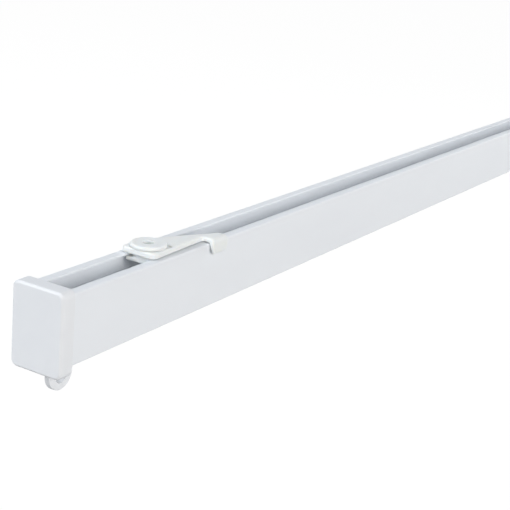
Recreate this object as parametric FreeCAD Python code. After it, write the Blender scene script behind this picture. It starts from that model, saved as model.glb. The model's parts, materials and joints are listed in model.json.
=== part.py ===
"""Ceiling curtain track: a white extruded rail with plastic ends, swivel ceiling fittings and gliders.

The frame: the origin lies midway between the two ceiling screws, in the plane of the ceiling.
+X runs along the rail, +Z points up and -Y is the front, which the locking hooks clip over.
All sizes are in millimetres.
"""
import FreeCAD, Part
import math
import os
from FreeCAD import Vector

# Rail extrusion
rail_length = 1400.0
rail_width = 20.0
rail_height = 28.0
side_wall = 1.3
web_thickness = 1.3
lip_thickness = 1.2
fitting_channel_depth = 7.0
glider_channel_depth = 7.2
top_slot = 11.7
bottom_slot = 6.0
rail_corner_radius = 0.7
lip_edge_radius = 0.4

# Ceiling fitting, one at each end
screw_inset = 62.5
rail_drop = 4.5
screw_hole_radius = 2.4
disc_radius = 7.4
disc_thickness = 1.5
disc_edge_chamfer = 0.6
journal_radius = 3.9
journal_clearance = 0.08
retaining_lip = 0.75
retaining_lip_thickness = 0.7
countersink_wall = 0.75
recess_clearance = 0.2
stack_clearance = 0.15

# Swivel lever
plate_clearance = 0.4
plate_left = 7.0
plate_right = 6.0
plate_back_inset = 1.5
plate_front_inset = 2.0
plate_corner_radius = 2.4
arm_front_inset = 3.3
arm_thickness_at_hook = 2.05
lever_edge_chamfer = 0.5
hook_start = 28.3
hook_end = 39.3
hook_inner_radius = 1.4
hook_gap = 0.3
hook_thickness = 2.3
hook_bend_radius = 2.1
hook_reach = 4.6
hook_tip_start = 28.8
hook_tip_end = 38.4
hook_tip_relief = 1.2
hook_root_drop = 0.5
hook_shoulder_drop = 1.4
hook_side_radius = 2.5
hook_back_step = 0.9
hook_tip_radius = 1.6
hook_heel_radius = 2.4
pocket_outer_radius = 9.4
pocket_inner_radius = 7.8
pocket_depth = 1.4
pocket_start = -48.0
pocket_sweep = 36.0
neck_clearance = 0.35
neck_round_inset = 0.5
neck_corner_radius = 0.6
foot_clearance = 0.15
foot_side_clearance = 0.3
foot_thickness = 1.55

# End cap
cap_fit = 0.1
cap_depth = 6.7
cap_grip = 4.5
cap_side_cover = 1.85
cap_top_cover = 2.15
cap_bottom_cover = 3.05
cap_corner_radius = 2.8
cap_front_chamfer = 0.8
plug_clearance = 0.15
plug_length = 11.0
plug_wall = 1.6
plug_nose = 0.8
stop_clearance = 0.3
stop_block_height = 4.6
stop_neck_clearance = 0.6
stop_corner_chamfer = 1.0
cap_root = 0.8

# End eyelet, for the curtain's last hook
end_eye_setback = 6.6
end_eye_drop = 7.0
end_eye_radius = 6.4
end_eye_hole_radius = 3.6
end_eye_thickness = 2.5
end_eye_neck_half = 4.2

# Gliders, parked at the far end
glider_count = 12
glider_pitch = 12.0
glider_length = 9.0
glider_head_height = 3.4
glider_head_side_clearance = 1.9
glider_running_clearance = 0.2
glider_neck_length = 5.0
glider_neck_clearance = 0.5
glider_eye_gap = 0.6
glider_eye_drop = 5.2
glider_eye_radius = 4.4
glider_eye_hole_radius = 2.6
glider_eye_thickness = 2.6
glider_corner_chamfer = 2.2
glider_top_chamfer = 0.8

# Levels and half widths that the pieces share
rail_top = -rail_drop
rail_bottom = rail_top - rail_height
half_width = rail_width / 2
channel_half = half_width - side_wall
fitting_floor = rail_top - lip_thickness - fitting_channel_depth
glider_floor = rail_bottom + lip_thickness
glider_roof = glider_floor + glider_channel_depth
chamber_roof = fitting_floor - web_thickness
chamber_floor = glider_roof + web_thickness
rail_end = rail_length / 2
hub_x = rail_end - screw_inset
cap_rear = rail_end - cap_grip
cap_front = cap_rear + cap_depth
stop_x = cap_rear - end_eye_setback - end_eye_radius

# Levels of the lever and the hub
plate_bottom = rail_top + plate_clearance
disc_bottom = -disc_thickness
plate_top = disc_bottom - stack_clearance
foot_top = rail_top - lip_thickness - foot_clearance
foot_bottom = foot_top - foot_thickness
neck_half = top_slot / 2 - neck_clearance
foot_radius = channel_half - foot_side_clearance
bore_radius = journal_radius + journal_clearance
lip_radius = journal_radius + retaining_lip
countersink_radius = lip_radius - countersink_wall
recess_radius = lip_radius + recess_clearance
lip_top = foot_bottom + retaining_lip_thickness
recess_top = lip_top + stack_clearance
hook_inner = -(half_width + hook_gap)
hook_outer = hook_inner - hook_thickness


def box(low, high):
    """A block between two opposite corners."""
    size = [high[i] - low[i] for i in range(3)]
    return Part.makeBox(size[0], size[1], size[2], Vector(*low))


def rounded_outline(points, radii):
    """A closed wire through the points, with an arc at each corner whose radius isn't zero."""
    count = len(points)
    starts = []
    ends = []
    middles = []
    for i in range(count):
        corner = points[i]
        back = (points[i - 1] - corner).normalize()
        ahead = (points[(i + 1) % count] - corner).normalize()
        half_angle = back.getAngle(ahead) / 2
        setback = radii[i] / math.tan(half_angle)
        inward = (back + ahead).normalize()
        starts.append(corner + back * setback)
        ends.append(corner + ahead * setback)
        middles.append(corner + inward * (radii[i] / math.sin(half_angle) - radii[i]))
    edges = []
    for i in range(count):
        if radii[i] > 0:
            edges.append(Part.Arc(starts[i], middles[i], ends[i]).toShape())
        edges.append(Part.LineSegment(ends[i], starts[(i + 1) % count]).toShape())
    return Part.Wire(edges)


def rectangle_yz(x, y_half, z_low, z_high, radius):
    """A rounded rectangle across the rail, at one place along it."""
    corners = [
        Vector(x, -y_half, z_low),
        Vector(x, y_half, z_low),
        Vector(x, y_half, z_high),
        Vector(x, -y_half, z_high),
    ]
    return rounded_outline(corners, [radius] * 4)


def prism(wire, along):
    """The solid swept by a flat closed wire along a vector."""
    return Part.Face(wire).extrude(along)


def edges_where(shape, test):
    """The edges of a shape whose both ends and centre pass the test."""
    chosen = []
    for edge in shape.Edges:
        points = [vertex.Point for vertex in edge.Vertexes]
        points.append(edge.CenterOfMass)
        if all(test(point) for point in points):
            chosen.append(edge)
    return chosen


def near(value, target):
    """True where two sizes are the same, within a thousandth."""
    return abs(value - target) < 0.001


def upright_cylinder(radius, z_low, z_high):
    """A cylinder about the vertical through the origin."""
    return Part.makeCylinder(radius, z_high - z_low, Vector(0, 0, z_low))


def write(shape, name):
    """Writes one piece to its own file."""
    solid = shape.removeSplitter()
    if len(solid.Solids) == 1:
        solid = solid.Solids[0]
    solid.exportStep("parts/" + name + ".step")
    print(name, "valid", solid.isValid(), "solids", len(solid.Solids), "volume", round(solid.Volume, 2))


# Rail


def make_rail():
    """The extrusion: two open channels, one above and one below a closed chamber."""
    run = Vector(rail_length, 0, 0)
    x = -rail_end
    blank = prism(rectangle_yz(x, half_width, rail_bottom, rail_top, rail_corner_radius), run)
    fitting_channel = box(
        (x, -channel_half, fitting_floor), (rail_end, channel_half, rail_top - lip_thickness)
    )
    fitting_slot = box((x, -top_slot / 2, fitting_floor), (rail_end, top_slot / 2, rail_top))
    chamber = box((x, -channel_half, chamber_floor), (rail_end, channel_half, chamber_roof))
    glider_channel = box((x, -channel_half, glider_floor), (rail_end, channel_half, glider_roof))
    glider_slot = box((x, -bottom_slot / 2, rail_bottom), (rail_end, bottom_slot / 2, glider_roof))
    rail = blank.cut([fitting_channel, fitting_slot, chamber, glider_channel, glider_slot])
    return rail.makeFillet(lip_edge_radius, lip_edges(rail))


def lip_edges(rail):
    """The long edges of the four lips, where the powder coat rounds the metal."""

    def on_lip(point):
        top_edge = near(abs(point.y), top_slot / 2) and point.z > fitting_floor + 0.001
        bottom_edge = near(abs(point.y), bottom_slot / 2) and point.z < glider_roof - 0.001
        return top_edge or bottom_edge

    return [edge for edge in edges_where(rail, on_lip) if near(edge.Length, rail_length)]


# Ceiling fitting


def make_hub(x):
    """The fixed half: a disc against the ceiling on a journal that the screw passes through."""
    disc = upright_cylinder(disc_radius, disc_bottom, 0.0)
    disc = disc.makeChamfer(disc_edge_chamfer, edges_where(disc, lambda p: near(p.z, 0.0)))
    journal = upright_cylinder(journal_radius, lip_top, disc_bottom)
    lip = upright_cylinder(lip_radius, foot_bottom, lip_top)
    hole = upright_cylinder(screw_hole_radius, foot_bottom, 0.0)
    sink_depth = countersink_radius - screw_hole_radius
    countersink = Part.makeCone(
        countersink_radius, screw_hole_radius, sink_depth, Vector(0, 0, foot_bottom)
    )
    hub = disc.fuse([journal, lip]).cut([hole, countersink])
    hub.translate(Vector(x, 0, 0))
    return hub


def lever_plan():
    """The lever from above: a plate, an arm that narrows and a hook end over the front wall."""
    plate_back = half_width - plate_back_inset
    plate_front = -(half_width - plate_front_inset)
    arm_front = -(half_width - arm_front_inset)
    points = [
        Vector(-plate_left, plate_back, plate_bottom),
        Vector(-plate_left, plate_front, plate_bottom),
        Vector(hook_start, arm_front, plate_bottom),
        Vector(hook_start, hook_outer, plate_bottom),
        Vector(hook_end, hook_outer, plate_bottom),
        Vector(hook_end, arm_front - hook_back_step, plate_bottom),
        Vector(plate_right, plate_back, plate_bottom),
    ]
    corner = plate_corner_radius
    return rounded_outline(points, [corner, corner, hook_inner_radius, 0, 0, corner, 2 * corner])


def tongue_outline():
    """The hook from the front: a tongue with a rounded tip."""
    inside_arm = plate_bottom + arm_thickness_at_hook / 2
    tip = rail_top - hook_reach
    points = [
        Vector(hook_start, hook_outer, inside_arm),
        Vector(hook_start, hook_outer, rail_top - hook_root_drop),
        Vector(hook_tip_start, hook_outer, tip),
        Vector(hook_tip_end, hook_outer, tip),
        Vector(hook_end, hook_outer, rail_top - hook_shoulder_drop),
        Vector(hook_end, hook_outer, inside_arm),
    ]
    side = hook_side_radius
    return rounded_outline(points, [0, side, hook_tip_radius, hook_heel_radius, side, 0])


def above_the_arm():
    """The waste above the arm's top, which falls evenly towards the hook."""
    hook_top = plate_bottom + arm_thickness_at_hook
    wire = Part.makePolygon([
        Vector(-plate_left, hook_outer, plate_top),
        Vector(hook_end, hook_outer, hook_top),
        Vector(hook_end, hook_outer, disc_bottom),
        Vector(-plate_left, hook_outer, disc_bottom),
        Vector(-plate_left, hook_outer, plate_top),
    ])
    return prism(wire, Vector(0, half_width - hook_outer, 0))


def outside_the_bend():
    """The waste outside the round bend, whose axis runs parallel to the arm's sloping top."""
    fall = plate_top - plate_bottom - arm_thickness_at_hook
    slope = Vector(hook_end + plate_left, 0, -fall).normalize()
    upwards = Vector(0, -1, 0).cross(slope)
    axis_point = Vector(hook_end, hook_outer + hook_bend_radius, plate_bottom + arm_thickness_at_hook)
    axis_point = axis_point - upwards * hook_bend_radius
    length = 4 * (hook_end - hook_start)
    start = axis_point - slope * (length / 2)
    bend = Part.makeCylinder(hook_bend_radius, length, start, slope)
    corners = [
        start,
        start + Vector(0, -2 * hook_bend_radius, 0),
        start + Vector(0, -2 * hook_bend_radius, 0) + upwards * (2 * hook_bend_radius),
        start + upwards * (2 * hook_bend_radius),
        start,
    ]
    return prism(Part.makePolygon(corners), slope * length).cut(bend)


def outer_rim(body):
    """The edges round the lever's top, its bend and the tongue's outer face, as one closed run."""
    lean = 0.3
    skin = []
    for face in body.Faces:
        centre = face.CenterOfMass
        normal = face.normalAt(*face.Surface.parameter(centre))
        faces_up = normal.z > lean
        faces_front = normal.y < -lean and abs(normal.x) < lean / 3
        if faces_up or (faces_front and centre.y < hook_inner):
            skin.append(face)
    edges = [edge for face in skin for edge in face.OuterWire.Edges]
    return [edge for edge in edges if sum(1 for other in edges if other.isSame(edge)) == 1]


def make_arm():
    """The plate, the arm and the hook in one piece, with its rim broken from plate to tip."""
    arm = prism(lever_plan(), Vector(0, 0, plate_top - plate_bottom))
    tongue = prism(tongue_outline(), Vector(0, hook_thickness, 0))
    body = arm.fuse(tongue).removeSplitter().cut([above_the_arm(), outside_the_bend()])
    body = body.makeChamfer(lever_edge_chamfer, outer_rim(body))
    tip = rail_top - hook_reach
    relief = Part.makePolygon([
        Vector(0, hook_inner, rail_top),
        Vector(0, hook_inner - hook_tip_relief, tip),
        Vector(0, hook_inner, tip),
        Vector(0, hook_inner, rail_top),
    ])
    return body.cut(prism(relief, Vector(hook_end, 0, 0)))


def make_neck():
    """The neck in the slot: two round corners let it turn a quarter, and two square ones stop it."""
    corners = [
        Vector(neck_half, neck_half, foot_bottom),
        Vector(-neck_half, neck_half, foot_bottom),
        Vector(-neck_half, -neck_half, foot_bottom),
        Vector(neck_half, -neck_half, foot_bottom),
    ]
    turning = neck_half - neck_round_inset
    outline = rounded_outline(corners, [neck_corner_radius, turning, neck_corner_radius, turning])
    return prism(outline, Vector(0, 0, plate_bottom - foot_bottom))


def make_foot():
    """The flat-sided foot, which drops through the slot and locks under both lips."""
    disc = upright_cylinder(foot_radius, foot_bottom, foot_top)
    sides = box((-neck_half, -foot_radius, foot_bottom), (neck_half, foot_radius, foot_top))
    return disc.common(sides)


def stop_pocket():
    """The curved pocket beside the disc, open upwards, that the lever's stop runs in."""
    ring = upright_cylinder(pocket_outer_radius, plate_top - pocket_depth, disc_bottom)
    ring = ring.cut(upright_cylinder(pocket_inner_radius, plate_top - pocket_depth, disc_bottom))
    wedge = Part.makeCylinder(
        2 * pocket_outer_radius,
        disc_bottom - plate_top + pocket_depth,
        Vector(0, 0, plate_top - pocket_depth),
        Vector(0, 0, 1),
        pocket_sweep,
    )
    wedge.rotate(Vector(0, 0, 0), Vector(0, 0, 1), pocket_start)
    return ring.common(wedge)


def make_lever(x):
    """The moving half: turned to lock, its foot lies under the lips and its hook over the wall."""
    bore = upright_cylinder(bore_radius, foot_bottom, plate_top)
    recess = upright_cylinder(recess_radius, foot_bottom, recess_top)
    lever = make_arm().fuse([make_neck(), make_foot()]).cut([stop_pocket(), bore, recess])
    lever.translate(Vector(x, 0, 0))
    return lever


# End cap


def cap_shell():
    """The moulded sleeve that closes the rail's end and grips its outside."""
    y_outer = half_width + cap_side_cover
    z_low = rail_bottom - cap_bottom_cover
    z_high = rail_top + cap_top_cover
    depth = Vector(cap_depth, 0, 0)
    shell = prism(rectangle_yz(cap_rear, y_outer, z_low, z_high, cap_corner_radius), depth)
    front = edges_where(shell, lambda p: near(p.x, cap_front))
    shell = shell.makeChamfer(cap_front_chamfer, front)
    pocket = prism(
        rectangle_yz(
            cap_rear,
            half_width + cap_fit,
            rail_bottom - cap_fit,
            rail_top + cap_fit,
            rail_corner_radius,
        ),
        Vector(cap_grip, 0, 0),
    )
    return shell.cut(pocket)


def cap_plug():
    """The hollow plug that holds the cap in the rail's closed chamber."""
    y_half = channel_half - plug_clearance
    z_low = chamber_floor + plug_clearance
    z_high = chamber_roof - plug_clearance
    nose = rail_end - plug_length
    plug = box((nose, -y_half, z_low), (rail_end + cap_root, y_half, z_high))
    nose_edges = edges_where(plug, lambda p: near(p.x, nose))
    plug = plug.makeChamfer(plug_nose, nose_edges)
    core = box(
        (nose, -(y_half - plug_wall), z_low + plug_wall),
        (rail_end, y_half - plug_wall, z_high - plug_wall),
    )
    return plug.cut(core)


def cap_stop():
    """The block that ends the glider channel, with a rib that fills the slot below it."""
    y_half = channel_half - stop_clearance
    z_low = glider_floor + stop_clearance
    block = box((stop_x, -y_half, z_low), (rail_end + cap_root, y_half, z_low + stop_block_height))
    corners = edges_where(block, lambda p: near(p.x, stop_x) and near(abs(p.y), y_half))
    block = block.makeChamfer(stop_corner_chamfer, corners)
    rib_half = bottom_slot / 2 - stop_neck_clearance
    rib = box((stop_x, -rib_half, rail_bottom), (rail_end + cap_root, rib_half, z_low))
    return block.fuse(rib)


def eyelet(x, z, radius, hole_radius, thickness, neck_half, neck_top):
    """A flat ring across the rail's line with a short neck up to what carries it."""
    ring = Part.makeCylinder(radius, thickness, Vector(x, -thickness / 2, z), Vector(0, 1, 0))
    neck = box((x - neck_half, -thickness / 2, z), (x + neck_half, thickness / 2, neck_top))
    hole = Part.makeCylinder(hole_radius, thickness, Vector(x, -thickness / 2, z), Vector(0, 1, 0))
    return ring.fuse(neck).cut(hole)


def make_end_cap():
    """The far end cap, one moulding: sleeve, plug, glider stop and the last eyelet."""
    ring = eyelet(
        cap_rear - end_eye_setback,
        rail_bottom - end_eye_drop,
        end_eye_radius,
        end_eye_hole_radius,
        end_eye_thickness,
        end_eye_neck_half,
        rail_bottom,
    )
    return cap_shell().fuse([cap_plug(), cap_stop(), ring])


# Glider


def make_glider(x):
    """A moulded runner: a boat-shaped head on the lips, a neck in the slot and an eyelet below."""
    y_half = channel_half - glider_head_side_clearance
    head_bottom = glider_floor + glider_running_clearance
    head_top = head_bottom + glider_head_height
    half_length = glider_length / 2
    head = box((-half_length, -y_half, head_bottom), (half_length, y_half, head_top))
    upright = edges_where(head, lambda p: near(abs(p.x), half_length) and near(abs(p.y), y_half))
    head = head.makeChamfer(glider_corner_chamfer, upright)
    head = head.makeChamfer(glider_top_chamfer, edges_where(head, lambda p: near(p.z, head_top)))
    neck_y = bottom_slot / 2 - glider_neck_clearance
    neck_x = glider_neck_length / 2
    neck = box((-neck_x, -neck_y, rail_bottom - glider_eye_gap), (neck_x, neck_y, head_bottom))
    ring = eyelet(
        0,
        rail_bottom - glider_eye_drop,
        glider_eye_radius,
        glider_eye_hole_radius,
        glider_eye_thickness,
        glider_eye_radius,
        rail_bottom - glider_eye_gap,
    )
    glider = head.fuse([neck, ring])
    glider.translate(Vector(x, 0, 0))
    return glider


def main():
    """Builds every piece and writes it."""
    os.makedirs("parts", exist_ok=True)
    write(make_rail(), "rail")
    far_cap = make_end_cap()
    write(far_cap.mirror(Vector(0, 0, 0), Vector(1, 0, 0)), "end_cap_near")
    write(far_cap, "end_cap_far")
    for side, x in [("near", -hub_x), ("far", hub_x)]:
        write(make_hub(x), "ceiling_hub_" + side)
        write(make_lever(x), "swivel_lever_" + side)
    for number in range(1, glider_count + 1):
        x = stop_x - (number - 0.5) * glider_pitch
        write(make_glider(x), f"glider_{number:02d}")


main()
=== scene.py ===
"""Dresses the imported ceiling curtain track: powder-coated rail, moulded fittings, studio and camera.

Everything is in metres and in the frame of the CAD model: +X runs along the rail away from the
photographed end, +Z points up to the ceiling and -Y is the front that the locking hooks clip over.
"""
import json
import logging
import math
from dataclasses import dataclass, field
from enum import Enum

import bmesh
import bpy
from mathutils import Matrix, Vector


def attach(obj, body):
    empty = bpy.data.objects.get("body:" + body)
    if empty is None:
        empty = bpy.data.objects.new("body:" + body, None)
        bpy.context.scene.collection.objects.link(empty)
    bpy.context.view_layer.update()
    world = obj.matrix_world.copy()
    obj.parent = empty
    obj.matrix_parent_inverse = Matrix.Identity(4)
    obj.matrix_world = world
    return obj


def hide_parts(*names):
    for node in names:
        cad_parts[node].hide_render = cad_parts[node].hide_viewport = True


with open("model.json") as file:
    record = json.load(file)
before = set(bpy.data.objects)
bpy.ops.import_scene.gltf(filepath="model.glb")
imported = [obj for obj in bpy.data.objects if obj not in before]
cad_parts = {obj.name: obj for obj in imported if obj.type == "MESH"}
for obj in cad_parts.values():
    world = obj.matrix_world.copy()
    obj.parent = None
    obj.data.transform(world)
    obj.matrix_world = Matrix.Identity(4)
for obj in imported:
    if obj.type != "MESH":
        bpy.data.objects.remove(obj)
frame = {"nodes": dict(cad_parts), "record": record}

MM = 0.001
WHITE = (1.0, 1.0, 1.0, 1.0)
log = logging.getLogger("curtain_track")


class Slot(Enum):
    """The record's material slots that the dressed pieces take their finishes from."""

    CAP = "cap_plastic"
    FITTING = "fitting_plastic"
    GLIDER = "glider_plastic"


class End(Enum):
    """The rail's two ends."""

    NEAR = "near"
    FAR = "far"


def linear_colour(hex_value: str) -> tuple[float, float, float, float]:
    """Turns an sRGB hex colour into the linear colour that a shader takes.

    Args:
        hex_value: A colour such as "#E2E5E9".

    Returns:
        Linear red, green and blue from 0 to 1, and an alpha of 1.
    """
    digits = hex_value.lstrip("#")
    channels = [int(digits[i : i + 2], 16) / 255 for i in (0, 2, 4)]
    linear = [c / 12.92 if c <= 0.04045 else ((c + 0.055) / 1.055) ** 2.4 for c in channels]
    return linear[0], linear[1], linear[2], 1.0


def add_node(
    tree: bpy.types.NodeTree,
    kind: str,
    settings: dict[str | int, object] | None = None,
    links: dict[str | int, bpy.types.NodeSocket] | None = None,
) -> bpy.types.Node:
    """Adds a node to a tree with its settings and the sockets that feed it.

    Args:
        tree: The tree that gets the node.
        kind: Blender's type name for the node.
        settings: Values by name. A number or an input's name sets that input, and any other name
            sets the node's own property of that name.
        links: Output sockets by the name or number of the input that each feeds.

    Returns:
        The new node.
    """
    node = tree.nodes.new(kind)
    properties = {key: value for key, value in (settings or {}).items() if hasattr(node, str(key))}
    for key, value in properties.items():
        setattr(node, str(key), value)
    for key, value in (settings or {}).items():
        if key not in properties:
            node.inputs[key].default_value = value
    for key, source in (links or {}).items():
        tree.links.new(source, node.inputs[key])
    return node


@dataclass(frozen=True)
class Finish:
    """What a surface is made of and how it was made, as numbers for its material.

    Attributes:
        name: The material's common name.
        colour: Its colour.
        patch_colour: The colour of its faint uneven patches.
        patch_mm: The size of a patch.
        roughness: The surface's mean roughness.
        roughness_swing: How far the roughness strays either side of the mean.
        grain_mm: The size of one grain of the surface's texture.
        grain_height_mm: How far a grain stands out.
        stretch: How much longer the patches and grains are along the rail than across it.
        ior: The index of refraction.
        translucence: How much light passes into the plastic and out again.
        depth_mm: How far that light spreads.
        patch_detail: How many finer layers the patches have.
        grain_detail: How many finer layers the grain has.
        spread_by_colour: The shares of that spread that red, green and blue light reach.
    """

    name: str
    colour: str
    patch_colour: str
    patch_mm: float
    roughness: float
    roughness_swing: float
    grain_mm: float
    grain_height_mm: float
    stretch: float = 1.0
    ior: float = 1.5
    translucence: float = 0.0
    depth_mm: float = 0.0
    patch_detail: float = 3.0
    grain_detail: float = 1.0
    spread_by_colour: tuple[float, float, float] = (1.0, 0.9, 0.8)

    def pattern(self, tree: bpy.types.NodeTree, size_mm: float, detail: float) -> bpy.types.NodeSocket:
        """Adds a noise of a real size to a tree.

        Args:
            tree: The material's node tree.
            size_mm: The size of one blotch of the noise across the rail.
            detail: How many finer layers the noise has.

        Returns:
            The noise's value, from 0 to 1.
        """
        place = add_node(tree, "ShaderNodeTexCoord")
        per_metre = 1 / (size_mm * MM)
        mapping = add_node(
            tree,
            "ShaderNodeMapping",
            {"Scale": (per_metre / self.stretch, per_metre, per_metre)},
            {"Vector": place.outputs["Object"]},
        )
        noise = add_node(
            tree,
            "ShaderNodeTexNoise",
            {"Scale": 1.0, "Detail": detail},
            {"Vector": mapping.outputs["Vector"]},
        )
        return noise.outputs["Fac"]

    def material(self) -> bpy.types.Material:
        """Builds the finish as a node material.

        Returns:
            The material, named for what it is.
        """
        made = bpy.data.materials.new(self.name)
        made.use_nodes = True
        tree = made.node_tree
        tree.nodes.clear()
        patches = self.pattern(tree, self.patch_mm, self.patch_detail)
        grains = self.pattern(tree, self.grain_mm, self.grain_detail)
        mix = add_node(
            tree,
            "ShaderNodeMix",
            {"data_type": "RGBA", 6: linear_colour(self.colour), 7: linear_colour(self.patch_colour)},
            {0: patches},
        )
        gloss = add_node(
            tree,
            "ShaderNodeMapRange",
            {
                "To Min": self.roughness - self.roughness_swing,
                "To Max": self.roughness + self.roughness_swing,
            },
            {"Value": patches},
        )
        # A bump's height is a noise value from 0 to 1 times this distance in metres.
        bump = add_node(
            tree,
            "ShaderNodeBump",
            {"Strength": 1.0, "Distance": self.grain_height_mm * MM},
            {"Height": grains},
        )
        shader = add_node(
            tree,
            "ShaderNodeBsdfPrincipled",
            {
                "IOR": self.ior,
                "Metallic": 0.0,
                "Subsurface Weight": self.translucence,
                "Subsurface Scale": self.depth_mm * MM,
                "Subsurface Radius": self.spread_by_colour,
            },
            {
                "Base Color": mix.outputs[2],
                "Roughness": gloss.outputs["Result"],
                "Normal": bump.outputs["Normal"],
            },
        )
        add_node(tree, "ShaderNodeOutputMaterial", None, {"Surface": shader.outputs["BSDF"]})
        return made


# Polyester powder baked on extruded aluminium: an even white between satin and matt, with an orange
# peel so fine that it shows only in the highlights, and drawn out along the extrusion.
POWDER_COAT = Finish(
    name="powder_coated_aluminium",
    colour="#EAEDF0",
    patch_colour="#E6E9ED",
    patch_mm=18.0,
    roughness=0.56,
    roughness_swing=0.04,
    grain_mm=1.4,
    grain_height_mm=0.012,
    stretch=3.0,
)

# Injection-moulded ABS with a fine spark-eroded texture: it reads as matt, and a little greyer than
# the rail. The real texture is too fine to show, so its grain is drawn coarser.
MOULDED_ABS = Finish(
    name="moulded_abs",
    colour="#E8EAEC",
    patch_colour="#E3E5E8",
    patch_mm=9.0,
    roughness=0.64,
    roughness_swing=0.05,
    grain_mm=0.45,
    grain_height_mm=0.006,
    ior=1.53,
)

# Injection-moulded acetal, the slippery plastic of clips and gears: waxy, and a little creamy where
# light passes through its thin edges. Its grain is drawn coarser than the mould's, so that it shows.
MOULDED_ACETAL = Finish(
    name="moulded_acetal",
    colour="#ECEEED",
    patch_colour="#E7EAE9",
    patch_mm=6.0,
    roughness=0.55,
    roughness_swing=0.05,
    grain_mm=0.8,
    grain_height_mm=0.005,
    ior=1.48,
    translucence=0.7,
    depth_mm=1.2,
)

# The same acetal, polished by the mould so that it runs freely in the channel: it reads as glossier,
# with the polished tool's faint unevenness drawn coarse enough to show.
POLISHED_ACETAL = Finish(
    name="polished_acetal",
    colour="#ECECEA",
    patch_colour="#E7E8E5",
    patch_mm=4.0,
    roughness=0.4,
    roughness_swing=0.04,
    grain_mm=0.7,
    grain_height_mm=0.003,
    ior=1.48,
    translucence=0.7,
    depth_mm=1.0,
)


def mount_place(name: str) -> Vector:
    """Finds where the record puts one of the track's mounts."""
    return next(Vector(mount["pos_m"]) for mount in frame["record"]["mounts"] if mount["name"] == name)


def flattened_copy(node_name: str, object_name: str) -> bpy.types.Object:
    """Copies a CAD piece into a new mesh whose flat faces are whole again.

    Args:
        node_name: The CAD node to copy.
        object_name: The new object's name.

    Returns:
        The new object, linked to the scene.
    """
    flat_angle = math.radians(1.0)
    same_place = 0.0001 * MM
    mesh = bpy.data.meshes.new(object_name)
    surface = bmesh.new()
    surface.from_mesh(frame["nodes"][node_name].data)
    bmesh.ops.remove_doubles(surface, verts=surface.verts, dist=same_place)
    bmesh.ops.dissolve_limit(surface, angle_limit=flat_angle, verts=surface.verts, edges=surface.edges)
    surface.to_mesh(mesh)
    surface.free()
    piece = bpy.data.objects.new(object_name, mesh)
    bpy.context.scene.collection.objects.link(piece)
    return piece


def apply_modifiers(piece: bpy.types.Object) -> None:
    """Turns a piece's modifiers into its mesh.

    Args:
        piece: The object, which keeps its place.
    """
    bpy.context.view_layer.update()
    graph = bpy.context.evaluated_depsgraph_get()
    mesh = bpy.data.meshes.new_from_object(piece.evaluated_get(graph))
    piece.modifiers.clear()
    piece.data = mesh


def shade_rounded(piece: bpy.types.Object, sharp_degrees: float) -> None:
    """Shades small edge faces as rounds while the large faces beside them stay flat.

    Args:
        piece: The object to shade.
        sharp_degrees: Edges that turn more than this stay crisp.
    """
    piece.data.shade_smooth()
    piece.data.set_sharp_from_angle(angle=math.radians(sharp_degrees))
    favour_large_faces = 100
    weighted = piece.modifiers.new("face_weights", "WEIGHTED_NORMAL")
    weighted.keep_sharp = True
    weighted.weight = favour_large_faces
    apply_modifiers(piece)


def finish_piece(
    piece: bpy.types.Object, node_name: str, body: str, material: bpy.types.Material
) -> None:
    """Gives a dressed piece its material and puts it in its CAD node's place.

    Args:
        piece: The dressed object.
        node_name: The CAD node that it stands for.
        body: The body that it rides on.
        material: Its material.
    """
    piece.data.materials.clear()
    piece.data.materials.append(material)
    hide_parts(node_name)
    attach(piece, body)
    log.info("%s: %d faces on %s", piece.name, len(piece.data.polygons), body)


@dataclass
class Moulding:
    """A moulded piece whose edges are rounded as its mould left them.

    Attributes:
        edge_radius_mm: The radius of an outer edge.
        rounds: How many faces each rounded edge has.
        edge_degrees: Only edges that turn more than this are rounded.
        sharp_degrees: After that, edges that still turn more than this are shaded crisp.
    """

    edge_radius_mm: float
    rounds: int = 2
    edge_degrees: float = 30.0
    sharp_degrees: float = 50.0

    def weigh_edges(self, mesh: bpy.types.Mesh, crisp: tuple[Vector, float]) -> None:
        """Marks the edges to round: outer ones that turn enough, outside the part that stays crisp.

        Args:
            mesh: The piece's mesh.
            crisp: The centre and the radius of a ball whose edges aren't rounded.
        """
        centre, radius = crisp
        surface = bmesh.new()
        surface.from_mesh(mesh)
        weights = surface.edges.layers.float.new("bevel_weight_edge")
        for edge in surface.edges:
            turns = edge.is_convex and edge.calc_face_angle(0.0) > math.radians(self.edge_degrees)
            apart = any((vertex.co - centre).length > radius for vertex in edge.verts)
            edge[weights] = 1.0 if turns and apart else 0.0
        surface.to_mesh(mesh)
        surface.free()

    def soften(self, node_name: str, crisp: tuple[Vector, float] = (Vector(), 0.0)) -> bpy.types.Object:
        """Copies a CAD piece and rounds its edges.

        Args:
            node_name: The CAD node to copy.
            crisp: The centre and the radius of a ball whose edges aren't rounded.

        Returns:
            The rounded piece.
        """
        piece = flattened_copy(node_name, node_name + "_moulded")
        self.weigh_edges(piece.data, crisp)
        bevel = piece.modifiers.new("edge_rounds", "BEVEL")
        bevel.limit_method = "WEIGHT"
        bevel.width = self.edge_radius_mm * MM
        bevel.segments = self.rounds
        bevel.use_clamp_overlap = False
        apply_modifiers(piece)
        shade_rounded(piece, self.sharp_degrees)
        return piece


@dataclass
class Rail:
    """The powder-coated extrusion, whose shape is the CAD node's own.

    Attributes:
        finish: The coat on every face of it.
    """

    finish: Finish = POWDER_COAT

    def dress(self) -> None:
        """Gives the CAD rail its coat."""
        coat = self.finish.material()
        for material_slot in frame["nodes"]["rail"].material_slots:
            material_slot.material = coat
        log.info("rail: %s", coat.name)


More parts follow.
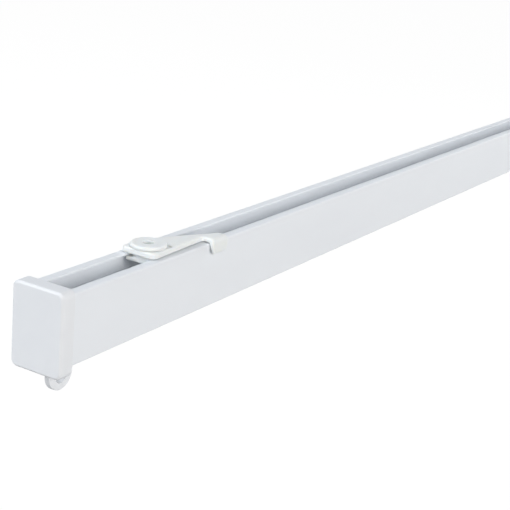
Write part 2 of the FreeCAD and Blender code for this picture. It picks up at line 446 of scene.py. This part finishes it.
@dataclass
class EndCap:
    """One end cap with its glider stop and eyelet, a single moulding.

    Attributes:
        end: The rail's end that it closes.
        crisp_mm: The radius round the eyelet's middle in which the hole's thin edges stay crisp.
        moulding: How far the other edges are rounded.
    """

    end: End
    crisp_mm: float = 4.2
    moulding: Moulding = field(default_factory=lambda: Moulding(edge_radius_mm=0.3, rounds=3))

    def dress(self, material: bpy.types.Material) -> None:
        """Builds the rounded cap and puts it in the CAD cap's place.

        Args:
            material: Its moulded plastic.
        """
        node_name = f"end_cap_{self.end.value}"
        eyelet = mount_place(f"end_eyelet_{self.end.value}")
        piece = self.moulding.soften(node_name, (eyelet, self.crisp_mm * MM))
        finish_piece(piece, node_name, "root", material)


@dataclass
class CeilingFitting:
    """One ceiling fitting: the hub that is screwed to the ceiling and the lever that turns on it.

    Attributes:
        end: The rail's end that it carries.
        hub: How far the hub's edges are rounded.
        hook_group: The name of the group that holds the lever's hook.
        cell_mm: The cell of the grid in which the lever's edges are melted into rounds.
        melt_factor: How far one smoothing moves a point towards the mean of its neighbours.
        melt: How many times the lever's surface is smoothed.
        hook_melt: How many more times its hook is, which the photo shows rounder.
        hook_place_mm: How far from the screw the rounder part begins, and where it is full.
        kept_share: The share of the lever's faces kept after that.
    """

    end: End
    hub: Moulding = field(default_factory=lambda: Moulding(edge_radius_mm=0.07))
    hook_group: str = "hook"
    cell_mm: float = 0.22
    melt_factor: float = 0.5
    melt: int = 8
    hook_melt: int = 80
    hook_place_mm: tuple[float, float] = (26.5, 31.0)
    kept_share: float = 0.45

    def mark_hook(self, piece: bpy.types.Object) -> None:
        """Puts the lever's vertices in a group, by how much each belongs to the hook.

        Args:
            piece: The lever, in its place at rest.
        """
        group = piece.vertex_groups.new(name=self.hook_group)
        hub_corners = frame["nodes"][f"ceiling_hub_{self.end.value}"].bound_box
        screw_x = sum(corner[0] for corner in hub_corners) / len(hub_corners)
        begin, full = (screw_x + place * MM for place in self.hook_place_mm)
        for vertex in piece.data.vertices:
            share = (vertex.co.x - begin) / (full - begin)
            group.add([vertex.index], min(max(share, 0.0), 1.0), "REPLACE")

    def build_lever(self, node_name: str) -> bpy.types.Object:
        """Copies the CAD lever and melts its edges into the soft rounds of a thick moulding.

        Args:
            node_name: The CAD lever.

        Returns:
            The softened lever.
        """
        piece = flattened_copy(node_name, node_name + "_moulded")
        grid = piece.modifiers.new("grid", "REMESH")
        grid.mode = "VOXEL"
        grid.voxel_size = self.cell_mm * MM
        apply_modifiers(piece)
        self.mark_hook(piece)
        for group, times in (("", self.melt), (self.hook_group, self.hook_melt)):
            melt = piece.modifiers.new("melt", "SMOOTH")
            melt.factor = self.melt_factor
            melt.iterations = times
            melt.vertex_group = group
        thin = piece.modifiers.new("thin", "DECIMATE")
        thin.ratio = self.kept_share
        apply_modifiers(piece)
        piece.data.shade_smooth()
        return piece

    def dress(self, material: bpy.types.Material) -> None:
        """Builds the hub and the lever and puts them in their CAD nodes' places.

        Args:
            material: Their moulded plastic.
        """
        side = self.end.value
        hub_name = f"ceiling_hub_{side}"
        lever_name = f"swivel_lever_{side}"
        finish_piece(self.hub.soften(hub_name), hub_name, "root", material)
        finish_piece(self.build_lever(lever_name), lever_name, f"lever_{side}", material)


@dataclass
class GliderRow:
    """The gliders that wait in the lower channel at the far end.

    Attributes:
        moulding: How far a glider's edges are rounded.
    """

    moulding: Moulding = field(default_factory=lambda: Moulding(edge_radius_mm=0.2))

    def dress(self, material: bpy.types.Material) -> None:
        """Builds each rounded glider and puts it in its CAD node's place.

        Args:
            material: Their polished plastic.
        """
        names = sorted(name for name in frame["nodes"] if name.startswith("glider_"))
        for name in names:
            finish_piece(self.moulding.soften(name), name, f"{name}_body", material)


@dataclass(frozen=True)
class Softbox:
    """A large square lamp behind white cloth.

    Attributes:
        name: Its name.
        turn: Degrees from the front of the track towards its photographed end that it stands at.
        rise: Degrees above the track.
        watts: Its power.
        colour: The colour of its light.
        width: Its width.
        distance: How far it stands from the photographed end.
    """

    name: str
    turn: float
    rise: float
    watts: float
    colour: str
    width: float = 2.2
    distance: float = 4.3

    def hang(self, target: Vector) -> None:
        """Hangs the lamp and points it at the track.

        Args:
            target: The point that it looks at.
        """
        turn, rise = math.radians(self.turn), math.radians(self.rise)
        outward = Vector(
            (-math.sin(turn) * math.cos(rise), -math.cos(turn) * math.cos(rise), math.sin(rise))
        )
        lamp = bpy.data.lights.new(self.name, "AREA")
        lamp.shape = "SQUARE"
        lamp.size = self.width
        lamp.energy = self.watts
        lamp.color = linear_colour(self.colour)[:3]
        holder = bpy.data.objects.new(self.name, lamp)
        holder.location = target + self.distance * outward
        holder.rotation_euler = (-outward).to_track_quat("-Z", "Y").to_euler()
        bpy.context.scene.collection.objects.link(holder)


@dataclass
class Studio:
    """A pale floor far below the track, a dim white room and five softboxes.

    Attributes:
        floor_drop: How far the floor lies below the ceiling's plane.
        floor_width: The floor's width.
        floor_colour: The floor's colour.
        floor_glow: The strength of the plain white that the camera sees the floor as.
        shadow_share: How much of the floor's own light and shade the camera sees in it.
        room_colour: The colour of the light from all around.
        room_strength: Its strength.
        lit_point: The point on the track that the softboxes look at.
        softboxes: A key at the front, a weak one beside the photographed end, a strong one behind
            it, one overhead and one low at the far end.
    """

    floor_drop: float = 0.7
    floor_width: float = 60.0
    floor_colour: str = "#C6C6C6"
    floor_glow: float = 1.06
    shadow_share: float = 0.08
    room_colour: str = "#FBFCFF"
    room_strength: float = 0.04
    lit_point: tuple[float, float, float] = (-0.65, 0.0, 0.0)
    softboxes: tuple[Softbox, ...] = (
        Softbox("front_softbox", turn=20.0, rise=18.0, watts=132.0, colour="#FFFDFB"),
        Softbox("side_softbox", turn=65.0, rise=15.0, watts=26.0, colour="#FFFDFB"),
        Softbox("rear_softbox", turn=140.0, rise=30.0, watts=142.0, colour="#F4F9FF"),
        Softbox("overhead_softbox", turn=0.0, rise=90.0, watts=40.0, colour="#F4F9FF"),
        Softbox("far_softbox", turn=-80.0, rise=6.0, watts=55.0, colour="#F4F9FF"),
    )

    def seen_directly(self, tree: bpy.types.NodeTree) -> bpy.types.NodeSocket:
        """Tells the rays that should find plain white from those that carry light.

        Args:
            tree: The tree that gets the test.

        Returns:
            1 for camera, glossy and transmission rays and 0 for the others.
        """
        path = add_node(tree, "ShaderNodeLightPath")
        either = add_node(
            tree,
            "ShaderNodeMath",
            {"operation": "MAXIMUM"},
            {0: path.outputs["Is Camera Ray"], 1: path.outputs["Is Glossy Ray"]},
        )
        any_of_them = add_node(
            tree,
            "ShaderNodeMath",
            {"operation": "MAXIMUM"},
            {0: either.outputs[0], 1: path.outputs["Is Transmission Ray"]},
        )
        return any_of_them.outputs[0]

    def build_room(self) -> None:
        """Sets the dim light from all around, which the camera sees as white."""
        world = bpy.data.worlds.new("white_room")
        bpy.context.scene.world = world
        world.use_nodes = True
        tree = world.node_tree
        tree.nodes.clear()
        light = add_node(
            tree,
            "ShaderNodeBackground",
            {"Color": linear_colour(self.room_colour), "Strength": self.room_strength},
        )
        white = add_node(tree, "ShaderNodeBackground", {"Color": WHITE, "Strength": 1.0})
        mix = add_node(
            tree,
            "ShaderNodeMixShader",
            None,
            {
                0: self.seen_directly(tree),
                1: light.outputs["Background"],
                2: white.outputs["Background"],
            },
        )
        add_node(tree, "ShaderNodeOutputWorld", None, {"Surface": mix.outputs["Shader"]})

    def build_floor(self) -> None:
        """Lays the floor, whose shadows stay faintly visible on white."""
        half = self.floor_width / 2
        corners = [(-half, -half), (half, -half), (half, half), (-half, half)]
        mesh = bpy.data.meshes.new("floor")
        mesh.from_pydata([(x, y, -self.floor_drop) for x, y in corners], [], [(0, 1, 2, 3)])
        floor = bpy.data.objects.new("floor", mesh)
        bpy.context.scene.collection.objects.link(floor)
        paint = bpy.data.materials.new("matt_floor_paint")
        paint.use_nodes = True
        tree = paint.node_tree
        tree.nodes.clear()
        lit = add_node(
            tree, "ShaderNodeBsdfDiffuse", {"Color": linear_colour(self.floor_colour), "Roughness": 1.0}
        )
        white = add_node(tree, "ShaderNodeEmission", {"Color": WHITE, "Strength": self.floor_glow})
        share = add_node(
            tree,
            "ShaderNodeMath",
            {"operation": "MULTIPLY", 1: 1.0 - self.shadow_share},
            {0: self.seen_directly(tree)},
        )
        mix = add_node(
            tree,
            "ShaderNodeMixShader",
            None,
            {0: share.outputs[0], 1: lit.outputs["BSDF"], 2: white.outputs["Emission"]},
        )
        add_node(tree, "ShaderNodeOutputMaterial", None, {"Surface": mix.outputs["Shader"]})
        mesh.materials.append(paint)

    def build(self) -> None:
        """Builds the room, the floor and the softboxes."""
        self.build_room()
        self.build_floor()
        for softbox in self.softboxes:
            softbox.hang(Vector(self.lit_point))
        log.info("studio: floor %.2f m below the ceiling's plane", self.floor_drop)


@dataclass
class PhotoCamera:
    """The photograph's camera, solved from the end cap, the rail's edges and the eyelet.

    Attributes:
        place: Where the camera stands.
        heading: Degrees from +Y towards +X that it looks along.
        pitch: Degrees that it looks down.
        roll: Degrees that it leans.
        focal_pixels: The focal length in pixels of the photograph.
        picture_pixels: The photograph's width and height.
        sensor_mm: The width of the camera's sensor.
        nearest: Nothing nearer than this is drawn.
        furthest: Nothing further than this is drawn.
    """

    place: tuple[float, float, float] = (-1.00853, -0.26581, 0.14317)
    heading: float = 59.68
    pitch: float = 17.626
    roll: float = -5.267
    focal_pixels: float = 1211.15
    picture_pixels: float = 510.0
    sensor_mm: float = 36.0
    nearest: float = 0.01
    furthest: float = 200.0

    def axes(self) -> tuple[Vector, Vector, Vector]:
        """Works out the camera's own axes.

        Returns:
            The directions of the picture's right, its top and the way back from the object.
        """
        heading = math.radians(self.heading)
        pitch = math.radians(self.pitch)
        roll = math.radians(self.roll)
        ahead = Vector(
            (math.sin(heading) * math.cos(pitch), math.cos(heading) * math.cos(pitch), -math.sin(pitch))
        )
        level = Vector((math.cos(heading), -math.sin(heading), 0.0))
        down = ahead.cross(level)
        right = math.cos(roll) * level + math.sin(roll) * down
        lower = -math.sin(roll) * level + math.cos(roll) * down
        return right, -lower, -ahead

    def build(self) -> None:
        """Creates the camera and makes it the scene's own."""
        lens = bpy.data.cameras.new("photo_camera")
        lens.sensor_width = self.sensor_mm
        lens.lens = self.focal_pixels / self.picture_pixels * self.sensor_mm
        lens.clip_start = self.nearest
        lens.clip_end = self.furthest
        camera = bpy.data.objects.new("photo_camera", lens)
        turned = Matrix(self.axes()).transposed().to_4x4()
        camera.matrix_world = Matrix.Translation(Vector(self.place)) @ turned
        bpy.context.scene.collection.objects.link(camera)
        bpy.context.scene.camera = camera
        log.info("camera: %.1f mm lens", lens.lens)


def main() -> None:
    """Dresses every piece of the track and sets up the studio and the camera."""
    logging.basicConfig(level=logging.INFO, format="%(name)s: %(message)s")
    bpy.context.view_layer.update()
    Rail().dress()
    abs_plastic = MOULDED_ABS.material()
    acetal = MOULDED_ACETAL.material()
    for end in End:
        EndCap(end).dress(abs_plastic)
        CeilingFitting(end).dress(acetal)
    GliderRow().dress(POLISHED_ACETAL.material())
    Studio().build()
    PhotoCamera().build()
    bpy.context.scene.view_settings.view_transform = "Standard"


if __name__ == "__main__":
    main()
